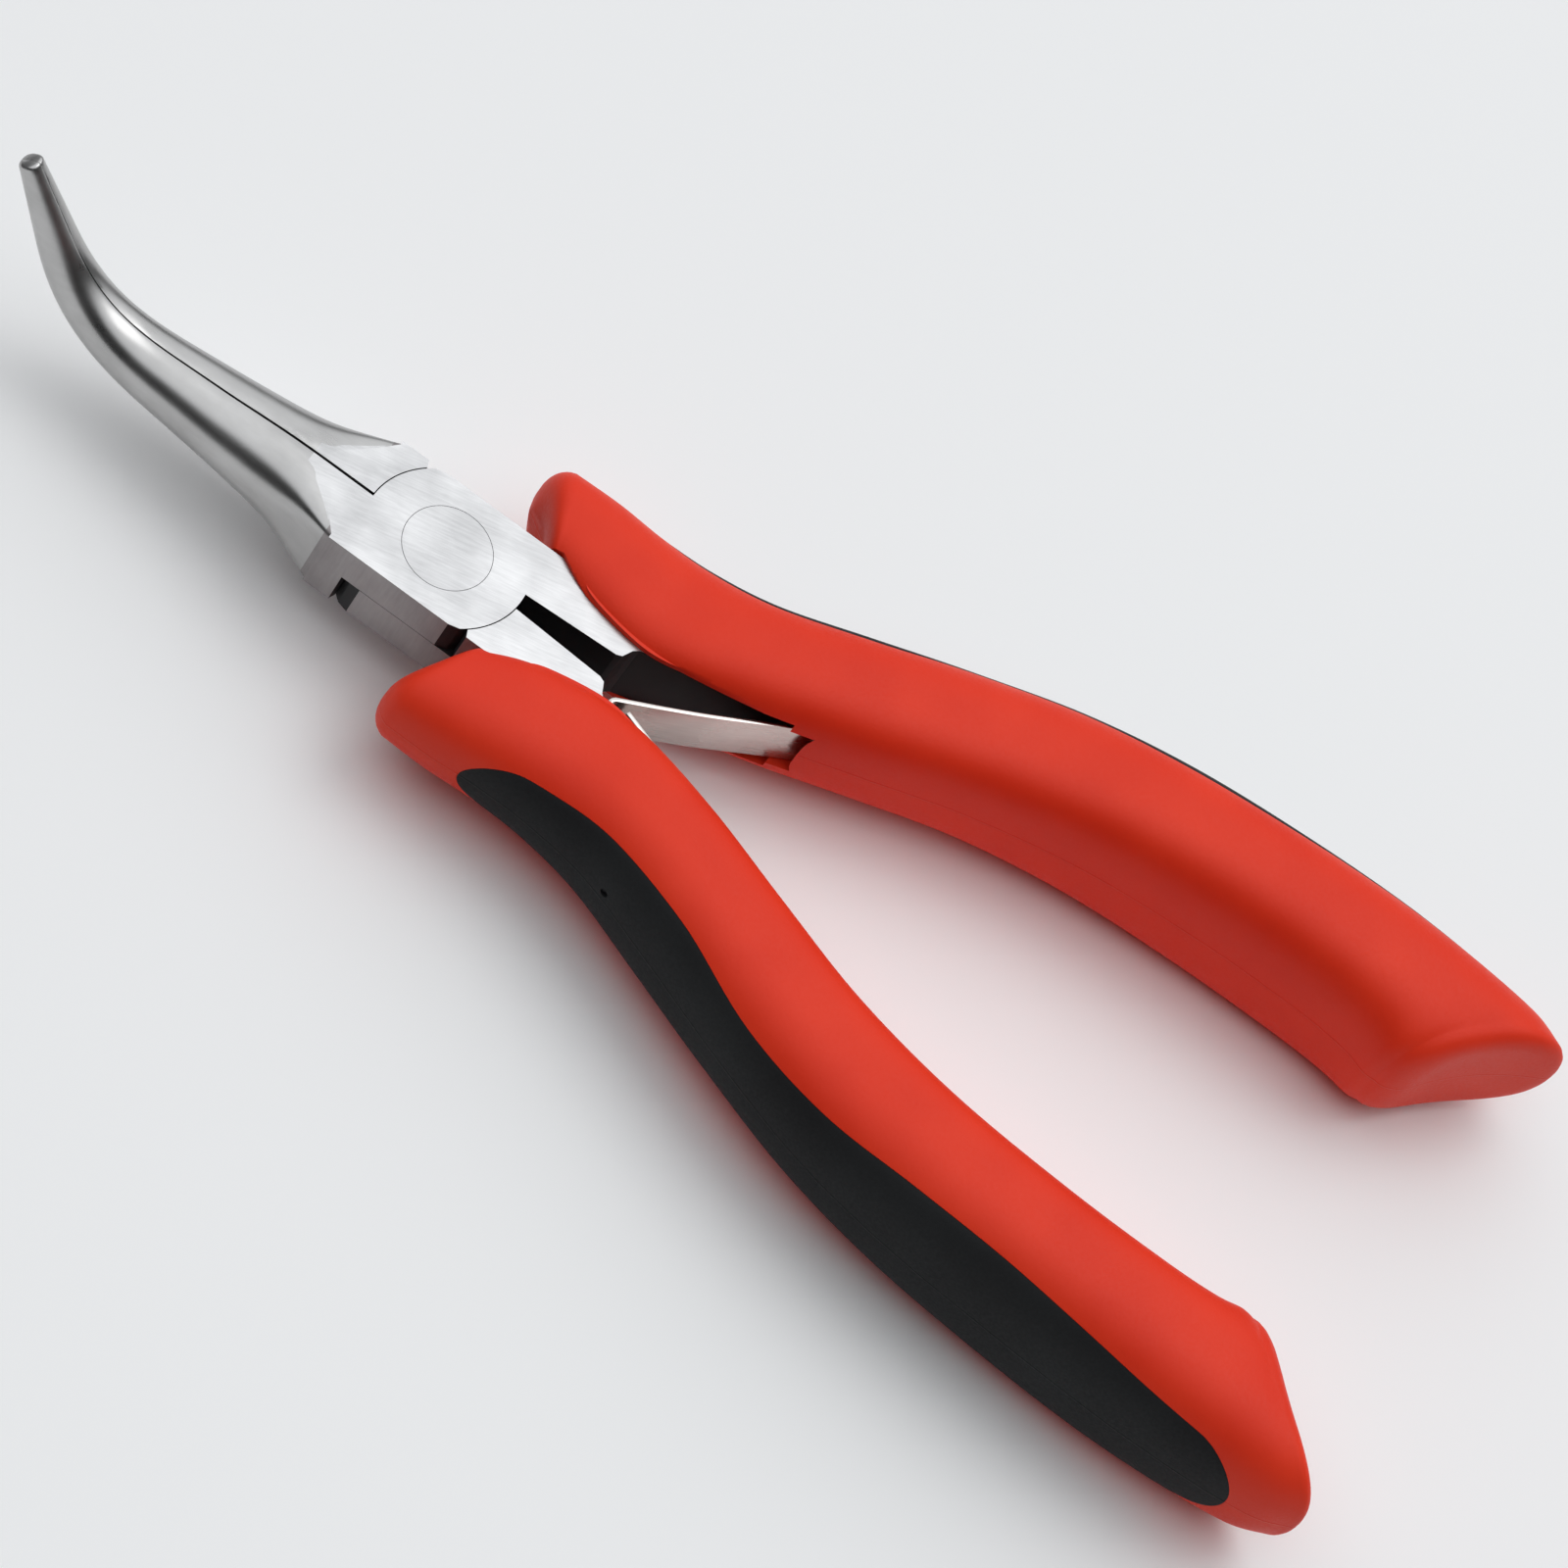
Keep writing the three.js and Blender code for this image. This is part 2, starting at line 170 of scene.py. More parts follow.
def spline(values, place):
    """A uniform Catmull-Rom curve through equally spaced rows of numbers, at a share of its length."""
    rows = np.asarray(values, float)
    last = len(rows) - 1
    position = np.clip(np.asarray(place, float) * last, 0, last)
    i = np.minimum(position.astype(int), last - 1)
    w = (position - i)[..., None]
    p0, p1, p2, p3 = rows[np.maximum(i - 1, 0)], rows[i], rows[i + 1], rows[np.minimum(i + 2, last)]
    slope1, slope2 = (p2 - p0) / 2, (p3 - p1) / 2
    return ((2 * p1 - 2 * p2 + slope1 + slope2) * w**3
            + (-3 * p1 + 3 * p2 - 2 * slope1 - slope2) * w**2 + slope1 * w + p1)


def smoothstep(low, high, value):
    share = np.clip((np.asarray(value, float) - low) / (high - low), 0, 1)
    return share * share * (3 - 2 * share)


def make_object(name, points, faces):
    mesh = bpy.data.meshes.new(name)
    mesh.from_pydata([tuple(map(float, p)) for p in points], [], faces)
    solid = bpy.data.objects.new(name, mesh)
    bpy.context.collection.objects.link(solid)
    form = bmesh.new()
    form.from_mesh(mesh)
    bmesh.ops.remove_doubles(form, verts=form.verts, dist=1e-5)
    bmesh.ops.dissolve_degenerate(form, edges=form.edges, dist=1e-6)
    bmesh.ops.recalc_face_normals(form, faces=form.faces)
    if form.calc_volume(signed=True) < 0:
        bmesh.ops.reverse_faces(form, faces=form.faces)
    form.to_mesh(mesh)
    form.free()
    return solid


def loft(name, rings):
    """A closed skin over rings of equal length, with a flat face over each end."""
    rings = [np.asarray(ring, float) for ring in rings]
    sides = len(rings[0])
    faces = []
    for r in range(len(rings) - 1):
        for i in range(sides):
            a = r * sides + i
            b = r * sides + (i + 1) % sides
            faces.append((a, b, b + sides, a + sides))
    start = (len(rings) - 1) * sides
    faces.append(tuple(reversed(range(sides))))
    faces.append(tuple(range(start, start + sides)))
    return make_object(name, np.concatenate(rings), faces)


def slab(name, points, low, high):
    """A plan outline extruded between two heights."""
    count = len(points)
    bottom = [(x, y, low) for x, y in points]
    top = [(x, y, high) for x, y in points]
    sides = [(i, (i + 1) % count, count + (i + 1) % count, count + i) for i in range(count)]
    faces = sides + [tuple(reversed(range(count))), tuple(range(count, 2 * count))]
    return make_object(name, bottom + top, faces)


def arc(radius, start, end, steps, centre=(0, 0)):
    angles = np.linspace(math.radians(start), math.radians(end), steps + 1)
    return [(centre[0] + radius * math.cos(a), centre[1] + radius * math.sin(a)) for a in angles]


def strip(path, half_width):
    """A strip along a path as a closed outline, of one half width or one for each point."""
    points = np.asarray(path, float)
    along = np.gradient(points, axis=0)
    along /= np.linalg.norm(along, axis=1)[:, None]
    across = np.stack([-along[:, 1], along[:, 0]], axis=1) * np.reshape(half_width, (-1, 1))
    return [tuple(p) for p in points + across] + [tuple(p) for p in (points - across)[::-1]]


def apply_modifiers(solid):
    bpy.context.view_layer.update()
    final = solid.evaluated_get(bpy.context.evaluated_depsgraph_get())
    mesh = bpy.data.meshes.new_from_object(final)
    solid.modifiers.clear()
    solid.data = mesh


def combine(solid, other, operation):
    cut = solid.modifiers.new("combine", "BOOLEAN")
    cut.operation = operation
    cut.solver = "MANIFOLD"
    cut.object = other
    apply_modifiers(solid)
    bpy.data.objects.remove(other)


def turn_over(solid):
    """Half a turn about the X axis."""
    solid.data.transform(Matrix.Rotation(math.pi, 4, "X"))


def mirror_y(solid):
    solid.data.transform(Matrix.Scale(-1, 4, (0, 1, 0)))
    solid.data.flip_normals()
    return solid


def soften_edges(solid, width, angle):
    bevel = solid.modifiers.new("bevel", "BEVEL")
    bevel.width = width
    bevel.segments = 2
    bevel.limit_method = "ANGLE"
    bevel.angle_limit = math.radians(angle)
    bevel.use_clamp_overlap = True
    bevel.miter_outer = "MITER_ARC"
    apply_modifiers(solid)


def shade(solid, angle=38, flat_slot=None, flat_area=1e9):
    """Smooth shading, kept sharp across edges that turn more than an angle. Faces of one material
    slot, and faces over an area in square millimetres, are planes and stay flat."""
    form = bmesh.new()
    form.from_mesh(solid.data)
    for face in form.faces:
        face.smooth = face.material_index != flat_slot and face.calc_area() < flat_area
    for edge in form.edges:
        slots = {face.material_index for face in edge.link_faces}
        border = len(slots) > 1 and flat_slot in slots
        edge.smooth = not border and edge.calc_face_angle(4) < math.radians(angle)
    form.to_mesh(solid.data)
    form.free()


def into_frame(solid):
    solid.data.transform(Matrix.Scale(MM, 4) @ Matrix.Translation((0, 0, MID_PLANE)))


def finish_piece(solid, body, replaced, materials):
    """Materials given here take the place of the mesh's own. An empty list leaves them."""
    if materials:
        solid.data.materials.clear()
    for material in materials:
        solid.data.materials.append(material)
    into_frame(solid)
    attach(solid, body)
    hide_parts(*replaced)


# --- materials -------------------------------------------------------------------------------------

def new_material(name):
    material = bpy.data.materials.new(name)
    material.use_nodes = True
    tree = material.node_tree
    return material, tree, tree.nodes["Principled BSDF"]


def add_node(tree, kind, **values):
    node = tree.nodes.new(kind)
    for key, value in values.items():
        setattr(node, key, value)
    return node


def object_noise(tree, scale, stretch=(1, 1, 1), detail=4.0, roughness=0.5, turn=0):
    """Noise in the object's own space, stretched along its axes and turned about Z by degrees."""
    place = add_node(tree, "ShaderNodeTexCoord")
    mapping = add_node(tree, "ShaderNodeMapping", vector_type="TEXTURE")
    mapping.inputs["Rotation"].default_value = (0, 0, math.radians(turn))
    mapping.inputs["Scale"].default_value = [1 / amount for amount in stretch]
    noise = add_node(tree, "ShaderNodeTexNoise")
    noise.inputs["Scale"].default_value = scale
    noise.inputs["Detail"].default_value = detail
    noise.inputs["Roughness"].default_value = roughness
    tree.links.new(place.outputs["Object"], mapping.inputs["Vector"])
    tree.links.new(mapping.outputs["Vector"], noise.inputs["Vector"])
    return noise.outputs["Fac"]


def ramp(tree, fac, stops):
    node = add_node(tree, "ShaderNodeValToRGB")
    elements = node.color_ramp.elements
    while len(elements) < len(stops):
        elements.new(0.5)
    for element, (position, colour) in zip(elements, stops):
        element.position = position
        element.color = (*colour, 1)
    tree.links.new(fac, node.inputs["Fac"])
    return node.outputs["Color"]


def map_range(tree, fac, low, high, out_low, out_high):
    node = add_node(tree, "ShaderNodeMapRange")
    node.inputs["From Min"].default_value = low
    node.inputs["From Max"].default_value = high
    node.inputs["To Min"].default_value = out_low
    node.inputs["To Max"].default_value = out_high
    tree.links.new(fac, node.inputs["Value"])
    return node.outputs["Result"]


def add_bump(tree, shader, height, strength, distance, before=None):
    bump = add_node(tree, "ShaderNodeBump")
    bump.inputs["Strength"].default_value = strength
    bump.inputs["Distance"].default_value = distance
    tree.links.new(height, bump.inputs["Height"])
    if before is not None:
        tree.links.new(before, bump.inputs["Normal"])
    tree.links.new(bump.outputs["Normal"], shader.inputs["Normal"])
    return bump.outputs["Normal"]


def steel(name, dark, light, rough, grain_scale, grain_stretch, grain_depth, metallic=1.0, turn=0):
    """Worked steel: a grain that runs one way, faint clouding, and roughness that follows both."""
    material, tree, shader = new_material(name)
    shader.inputs["Metallic"].default_value = metallic
    grain = object_noise(tree, grain_scale, grain_stretch, detail=6, roughness=0.65, turn=turn)
    cloud = object_noise(tree, 160, detail=3)
    mix = add_node(tree, "ShaderNodeMath", operation="MULTIPLY_ADD")
    mix.inputs[1].default_value = 0.6
    tree.links.new(grain, mix.inputs[0])
    scaled = map_range(tree, cloud, 0.3, 0.7, 0.0, 0.4)
    tree.links.new(scaled, mix.inputs[2])
    colour = ramp(tree, mix.outputs[0], [(0.25, dark), (0.75, light)])
    tree.links.new(colour, shader.inputs["Base Color"])
    roughness = map_range(tree, mix.outputs[0], 0.2, 0.8, rough[0], rough[1])
    tree.links.new(roughness, shader.inputs["Roughness"])
    add_bump(tree, shader, grain, 0.5, grain_depth)
    return material


def parting_line(tree):
    """A hairline ridge where the mould's halves met, at the height of the mid-plane."""
    place = add_node(tree, "ShaderNodeTexCoord")
    split = add_node(tree, "ShaderNodeSeparateXYZ")
    tree.links.new(place.outputs["Object"], split.inputs[0])
    height = add_node(tree, "ShaderNodeMath", operation="SUBTRACT")
    height.inputs[1].default_value = MID_PLANE * MM
    tree.links.new(split.outputs["Z"], height.inputs[0])
    distance = add_node(tree, "ShaderNodeMath", operation="ABSOLUTE")
    tree.links.new(height.outputs[0], distance.inputs[0])
    return map_range(tree, distance.outputs[0], 0.00004, 0.00014, 1.0, 0.0)


def moulded(name, dark, light, rough, grain_depth, specular=0.5):
    """Moulded plastic or rubber: a fine satin grain over a broad, faint unevenness."""
    material, tree, shader = new_material(name)
    shader.inputs["Specular IOR Level"].default_value = specular
    broad = object_noise(tree, 90, detail=2)
    fine = object_noise(tree, 3200, detail=3, roughness=0.6)
    colour = ramp(tree, broad, [(0.3, dark), (0.7, light)])
    tree.links.new(colour, shader.inputs["Base Color"])
    tree.links.new(map_range(tree, fine, 0.3, 0.7, rough[0], rough[1]), shader.inputs["Roughness"])
    first = add_bump(tree, shader, broad, 0.15, 0.0002)
    second = add_bump(tree, shader, fine, 0.35, grain_depth, before=first)
    add_bump(tree, shader, parting_line(tree), 0.6, 0.00008, before=second)
    return material


# Dark and light colour, range of roughness, then the grain's scale, its stretch and its depth.
MATERIALS = {
    "ground": steel("ground_steel", (0.44, 0.44, 0.445), (0.70, 0.70, 0.705), (0.32, 0.46),
                    260, (1.2, 16, 1), 0.00002, turn=14),
    "nose": steel("polished_steel", (0.43, 0.425, 0.42), (0.54, 0.535, 0.53), (0.26, 0.34),
                  700, (0.4, 1.5, 1.5), 0.000003),
    # side: steel for the joint's side walls, its colour painted darker than the faces as painted shade
    # for walls turned away from the light.
    "side": steel("side_steel_painted_shade", (0.27, 0.25, 0.25), (0.40, 0.375, 0.375), (0.36, 0.52),
                  700, (4, 1, 0.4), 0.00001),
    # black: near-black steel that is painted shade, for the handle roots' walls and the walls in the
    # slots at the lap joint, where shadow falls.
    "black": steel("black_painted_shade", (0.006, 0.006, 0.007), (0.016, 0.016, 0.018), (0.45, 0.62),
                   900, (1, 1, 1), 0.00001, metallic=0.3),
    "spring": steel("spring_strip", (0.52, 0.48, 0.45), (0.72, 0.69, 0.65), (0.2, 0.34),
                    700, (0.5, 0.5, 6), 0.000006),
    "rivet": steel("rivet_face", (0.44, 0.44, 0.445), (0.68, 0.68, 0.685), (0.32, 0.46),
                   260, (1.2, 16, 1), 0.00002, turn=14),
    "red": moulded("red_grip_plastic", (0.78, 0.032, 0.008), (0.85, 0.042, 0.012), (0.44, 0.58),
                   0.00005, specular=0.24),
    "rubber": moulded("black_grip_rubber", (0.010, 0.010, 0.011), (0.015, 0.016, 0.017), (0.6, 0.75),
                      0.00005, specular=0.22),
}


# --- levers ----------------------------------------------------------------------------------------

def jaw_spine(distances):
    """Centre line of a jaw in the XZ plane and its upward turn, at distances from the joint."""
    fine = np.linspace(0, JAW_LENGTH + 1, 800)
    turn = BEND_ANGLE * smoothstep(BEND_START, BEND_START + BEND_LENGTH, fine)
    step = fine[1] - fine[0]
    x = BLOCK_END_X + np.concatenate([[0], np.cumsum(np.cos((turn[1:] + turn[:-1]) / 2) * step)])
    z = np.concatenate([[0], np.cumsum(np.sin((turn[1:] + turn[:-1]) / 2) * step)])
    return [np.interp(distances, fine, values) for values in (x, z, turn)]


def jaw_ring(s, x, z, turn, shrink=0.0):
    """A half-round section, square where it leaves the joint and ground flat at the joint's faces."""
    squareness = math.exp(-((s / SQUARE_LENGTH) ** 1.3))
    power = ROUND_POWER + (SQUARE_POWER - ROUND_POWER) * squareness
    width = JAW_ROOT_WIDTH + WIDTH_SLOPE * s + WIDTH_CURVE * s * s - shrink
    width += (HALF_WIDTH - JAW_ROOT_WIDTH) * squareness
    height = HALF_THICKNESS - shrink
    height += (HEIGHT_SLOPE * s + HEIGHT_CURVE * s * s) * float(smoothstep(4, 16, s))
    flat_share = GROUND_ROOT_SHARE * max(0.0, 1 - s / GROUND_LENGTH)
    height /= (1 - flat_share**power) ** (1 / power)
    seam = SEAM_AT_JOINT + (SEAM_AT_TIP - SEAM_AT_JOINT) * s / JAW_LENGTH
    ground = min(1.0, HALF_THICKNESS / height) if s < GROUND_LENGTH else 1.0
    edge = math.asin(ground ** (power / 2))
    angles = np.linspace(-edge, edge, 39)
    across = np.abs(np.cos(angles)) ** (2 / power)
    up = np.sign(angles) * np.abs(np.sin(angles)) ** (2 / power) * height
    flat = across[-1] * np.array([0.75, 0.5, 0.25, 0.0])
    across = np.concatenate([flat[::-1], across, flat])
    up = np.concatenate([np.full(4, up[0]), up, np.full(4, up[-1])])
    y = seam + across * (width - seam)
    return np.stack([x - up * math.sin(turn), y, z + up * math.cos(turn)], axis=1)


def jaw(name):
    """A jaw with a rounded tip, standing on the joint's block."""
    distances = np.concatenate([np.linspace(0, 10, 26)[:-1], np.linspace(10, JAW_LENGTH, 70)])
    stations = list(zip(distances, *jaw_spine(distances)))
    rings = [jaw_ring(*station) for station in stations]
    tip = stations[-1]
    for angle in (30, 60, 90):
        ahead = TIP_ROUNDING * math.sin(math.radians(angle))
        inset = TIP_ROUNDING * (1 - math.cos(math.radians(angle)))
        x = tip[1] + ahead * math.cos(BEND_ANGLE)
        z = tip[2] + ahead * math.sin(BEND_ANGLE)
        rings.append(jaw_ring(tip[0], x, z, BEND_ANGLE, inset))
    return loft(name, rings)


def plate_outline():
    """Plan of the lever whose jaw is at +Y: jaw block, lap disc, handle root and plate.

    The lap disc's corners are cut back a little on both sides.
    """
    lap = math.degrees(math.acos(LAP_CORNER_END / LAP_RADIUS))
    slot = math.degrees(math.asin(SLOT_HALF_WIDTH / LAP_RADIUS))
    points = [(BLOCK_END_X + 0.2, SEAM_AT_JOINT), (BLOCK_END_X + 0.2, HALF_WIDTH)]
    points += [(-LAP_CORNER_START, HALF_WIDTH)]
    points += arc(LAP_RADIUS, 180 - lap, 180 + slot, 40)
    points += [(-18.2, -1.5), (-18.75, -1.75), (-19.0, -2.3), (-19.25, -2.9), (-19.75, -3.35)]
    points += [(-20.5, -3.6), (-32.5, -7.3), (-35, -8.3), (PLATE_END_X, -9.6), (PLATE_END_X, -12.9)]
    points += [(-28, -9.7), (-16, -8.4), (-9, -HALF_WIDTH), (LAP_CORNER_START, -HALF_WIDTH)]
    points += arc(LAP_RADIUS, -lap, 0, 30)
    points += [(LAP_RADIUS, SEAM_AT_JOINT)]
    return points


def lap_clearance(name):
    """Room for the other lever's half of the joint, below the lap face."""
    corner = HALF_WIDTH + CUT_MARGIN
    front = arc(SHOULDER_RADIUS, 0, 45, 20)
    front += [(SHOULDER_SIDE_X, HALF_WIDTH), (SHOULDER_SIDE_X, corner)]
    back = [(-x, -y) for x, y in front]
    reach = BLOCK_END_X + 0.5
    points = front + [(-reach, corner), (-reach, 0)] + back + [(reach, -corner), (reach, 0)]
    return slab(name, points, -HALF_THICKNESS - CUT_MARGIN, LAP_GAP / 2)


def rivet_hole(name):
    reach = HALF_THICKNESS + CUT_MARGIN
    return slab(name, arc(RIVET_RADIUS + RIVET_GAP, 0, 357.5, 143), -reach, reach)


def tang(name):
    """The bar inside the grip, which hides it."""
    path = spline([(-34, 10.4), (-48, 17.4), (-60, 21), (-74, 23.4), (-92, 24)], np.linspace(0, 1, 20))
    solid = slab(name, strip(path, TANG_HALF_WIDTH), -TANG_HALF_HEIGHT, TANG_HALF_HEIGHT)
    return mirror_y(solid)


def paint_lever(solid):
    """Material slots by face: 0 nose, 1 ground faces, 2 joint's sides, painted darker as painted
    shade, 3 walls painted black as painted shade.

    The walls of the handle's root and plate are painted black to stand for their shadow, and so are
    those between the lap disc and the other lever's shoulder."""
    solid.data.materials.clear()
    for key in ("nose", "ground", "side", "black"):
        solid.data.materials.append(MATERIALS[key])
    for face in solid.data.polygons:
        x, y, z = face.center
        normal = face.normal
        wall = abs(normal.z) < 0.6
        root = PLATE_END_X - 0.5 < x < 0.2 - LAP_RADIUS and abs(y) < 9.5
        flat = abs(normal.z) > 0.995 and abs(abs(z) - HALF_THICKNESS) < 0.02
        within_side = abs(y) < HALF_WIDTH - 0.08 and abs(z) < HALF_THICKNESS - 0.02
        # Walls of the handle's root and plate: black, as painted shade.
        if root and wall:
            face.material_index = 3
        elif flat:
            face.material_index = 1
        # Walls in the slots between the lap disc and the other lever's shoulder: black, as painted
        # shade.
        elif within_side and abs(x) < LAP_RADIUS + 0.3:
            face.material_index = 3
        # The rest of the joint: the darker side steel, as painted shade.
        elif x < BLOCK_END_X + 1.0:
            face.material_index = 2
        else:
            face.material_index = 0


def lever(name, body, other_way_up):
    """One forging. Both levers are the same, and one of them is turned over."""
    solid = slab(name, plate_outline(), -HALF_THICKNESS, HALF_THICKNESS)
    combine(solid, lap_clearance("clearance"), "DIFFERENCE")
    combine(solid, rivet_hole("hole"), "DIFFERENCE")
    combine(solid, tang("tang"), "UNION")
    nose = jaw("nose")
    if other_way_up:
        turn_over(solid)
        mirror_y(nose)
    combine(solid, nose, "UNION")
    soften_edges(solid, EDGE_BEVEL, 40)
    paint_lever(solid)
    shade(solid, 34, flat_slot=1, flat_area=3)
    finish_piece(solid, body, [name.replace("_forging", "")], [])


# --- grips, drawn for the handle at +Y -------------------------------------------------------------

def grip_surface(share, angle, out=0.0, scale=1.0, ahead=0.0, trail=0.0):
    """Points of a grip's skin at shares of its length and angles round each section, 0 outermost.

    out moves the section's skin outwards, scale draws the section in, ahead moves it forwards
    by a function of where the point is across the section, and trail moves it along the tail."""
    xi, yi, xo, yo, height = np.moveaxis(spline(GRIP_SECTIONS, share), -1, 0)
    inner = np.stack([xi, yi], axis=-1)
    outer = np.stack([xo, yo], axis=-1)
    half = np.linalg.norm(outer - inner, axis=-1) / 2
    across = (outer - inner) / (2 * half)[..., None]
    forward = np.stack([across[..., 1], -across[..., 0]], axis=-1)
    power = np.where(np.cos(angle) < 0, INNER_POWER, OUTER_POWER)
    u = np.sign(np.cos(angle)) * np.abs(np.cos(angle)) ** (2 / power)
    v = np.sign(np.sin(angle)) * np.abs(np.sin(angle)) ** (2 / power)
    hollow = TAIL_HOLLOW * smoothstep(0.85, 1, share) * (1 - (u * scale) ** 2)
    lead = hollow + (ahead(u) if callable(ahead) else ahead)
    plan = (inner + outer) / 2 + across * (u * scale * half)[..., None] + forward * lead[..., None]
    plan = plan + np.array(TAIL_WAY) * trail
    place = np.concatenate([plan, (v * height * scale)[..., None]], axis=-1)
    if np.any(out):
        push = np.concatenate([across * np.cos(angle)[..., None], np.sin(angle)[..., None]], axis=-1)
        place = place + push * np.asarray(out)[..., None]
    return place


def grip_blank(name):
    """The grip's outside: a domed front end, the sections, and a hollow tail with round edges."""
    angles = np.linspace(0, 2 * math.pi, GRIP_SIDES, endpoint=False)
    full = np.ones_like(angles)
    rings = []
    for lead in (88, 80, 70, 60, 50, 40, 30, 20, 10):
        lead = math.radians(lead)
        reach = NOSE_BULGE * math.sin(lead)
        rings.append(grip_surface(0 * full, angles, scale=math.cos(lead) ** 0.45,
                                  ahead=lambda u: reach * (0.65 + 0.35 * u)))
    for share in np.linspace(0, 1, GRIP_STEPS + 1):
        rings.append(grip_surface(share * full, angles))
    for turn in (15, 30, 45, 60, 75, 90):
        turn = math.radians(turn)
        scale = 1 - TAIL_ROUNDING * (1 - math.cos(turn)) / TAIL_HALF_SIZE
        rings.append(grip_surface(full, angles, scale=scale, trail=TAIL_ROUNDING * math.sin(turn)))
    for scale in (0.6, 0.5, 0.4, 0.3, 0.2, 0.1):
        rings.append(grip_surface(full, angles, scale=scale, trail=TAIL_ROUNDING))
    return loft(name, rings)


def insert_patch(name, margin, proud, depth):
    """The soft insert as a closed shell: a patch of the grip's skin with a depth below it.

    c and s run from -1 to 1 along the patch and across it."""
    columns = 120
    rows = 40
    c = -np.cos(np.linspace(0, math.pi, columns + 1))
    reach = grip_surface(np.linspace(0, 1, 800), np.zeros(800))[:, 0]
    front, back = INSERT_PROFILE[0][0] + margin, INSERT_PROFILE[-1][0] - margin
    x = front + (back - front) * (c + 1) / 2
    share = np.interp(-x, -reach, np.linspace(0, 1, 800))
    profile = spline(INSERT_PROFILE, np.linspace(0, 1, 600))
    ends = np.clip(np.minimum(front - x, x - back) / INSERT_END_LENGTH, 0, 1)
    edge = (np.interp(-x, -profile[:, 0], profile[:, 1]) + margin) * np.sqrt(1 - (1 - ends) ** 2)
    height = spline(GRIP_SECTIONS, share)[:, 4]
    reach_angle = np.arcsin(np.clip((edge / height), 0, 0.985) ** (OUTER_POWER / 2))
    s = np.linspace(-1, 1, rows + 1)
    grid_share = np.repeat(share[:, None], rows + 1, axis=1)
    grid_angle = reach_angle[:, None] * s[None, :]
    rise = (1 - s[None, :] ** 12) * (1 - c[:, None] ** 12)
    top = grip_surface(grid_share, grid_angle, out=proud * rise)
    bottom = grip_surface(grid_share, grid_angle, out=np.full(grid_share.shape, -depth))
    points = np.concatenate([top.reshape(-1, 3), bottom.reshape(-1, 3)])
    across = rows + 1
    below = (columns + 1) * across
    faces = []
    for i in range(columns):
        for j in range(rows):
            a = i * across + j
            faces.append((a, a + 1, a + 1 + across, a + across))
            faces.append((below + a, below + a + across, below + a + 1 + across, below + a + 1))
        for j in (0, rows):
            a = i * across + j
            faces.append((a, a + across, below + a + across, below + a))
    return make_object(name, points, faces)


def grip_hollow():
    """What the lever and the leaf spring take out of a grip."""
    deep = HALF_THICKNESS + PLATE_GAP
    lips = spline(LIP_LINE, np.linspace(0, 1, 40))
    end = PLATE_END_X - 0.1
    plate = [(3, -8), (3, 7), (-9, HALF_WIDTH + PLATE_GAP), (-16, 8.4 + PLATE_GAP),
             (-28, 9.7 + PLATE_GAP), (end, 12.95), (end, 9.2), (-35.4, 8), (-35.4, -8)]
    beyond = [(3, -8), (3, 7)] + [tuple(p) for p in lips] + [(-35.4, -8)]
    pocket = [(-34, 3), (-34, 9), (-37, 10), (-43, 12.2), (-43.4, 10.4), (-40, 9.0), (-35.9, 6.2)]
    yield slab("plate_room", plate, -deep, deep)
    yield slab("beyond_lips", beyond, -12, 12)
    yield slab("leaf_pocket", pocket, -LEAF_HALF_WIDTH - 0.25, LEAF_HALF_WIDTH + 0.25)


def grip_lips():
    """The thin flange of plastic that laps onto the steel on both faces of the lever."""
    share = np.linspace(0, 1, 40)
    line = spline(LIP_LINE, 0.22 + 0.66 * share) + (0.0, LIP_HALF_WIDTH)
    width = 0.02 + LIP_HALF_WIDTH * np.sin(math.pi * share) ** 0.6
    low, high = HALF_THICKNESS + PLATE_GAP, HALF_THICKNESS + LIP_THICKNESS
    yield slab("upper_lip", strip(line, width), low, high)
    yield slab("lower_lip", strip(line, width), -high, -low)


def grip(name, body, replaced, flip):
    """A grip's red moulding, hollow where the lever, the leaf spring and the insert go."""
    solid = grip_blank(name)
    for room in grip_hollow():
        combine(solid, room, "DIFFERENCE")
    recess = insert_patch("recess", RECESS_GAP, 1.0, INSERT_DEPTH + 0.05)
    combine(solid, recess, "DIFFERENCE")
    for lip in grip_lips():
        combine(solid, lip, "UNION")
    if flip:
        mirror_y(solid)
    shade(solid, 40)
    finish_piece(solid, body, [replaced], [MATERIALS["red"]])


def insert(name, body, replaced, flip):
    """The soft insert, with the small round mark that its mould's gate left."""
    solid = insert_patch(name, 0.0, INSERT_PROUD, INSERT_DEPTH)
    near, far = GATE_DEPTH
    gate = slab("gate", arc(GATE_RADIUS, 0, 345, 23, centre=GATE), -far, -near)
    gate.data.transform(Matrix.Rotation(math.pi / 2, 4, "X"))
    combine(solid, gate, "DIFFERENCE")
    if flip:
        mirror_y(solid)
    shade(solid, 50)
    finish_piece(solid, body, [replaced], [MATERIALS["rubber"]])


# --- leaf springs ----------------------------------------------------------------------------------

def leaf(name, path, hook, replaced):
    """A spring strip along a curved path, with a hook at its tip where one is given."""
    centre = np.concatenate([spline(path, np.linspace(0, 1, 60)), np.reshape(hook, (-1, 2))])
    solid = slab(name, strip(centre, LEAF_THICKNESS / 2), -LEAF_HALF_WIDTH, LEAF_HALF_WIDTH)
    soften_edges(solid, 0.08, 60)
    shade(solid, 40)
    solid.data.materials.clear()
    solid.data.materials.append(MATERIALS["spring"])
    into_frame(solid)
    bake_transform(solid)
    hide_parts(replaced)


# --- the tool --------------------------------------------------------------------------------------

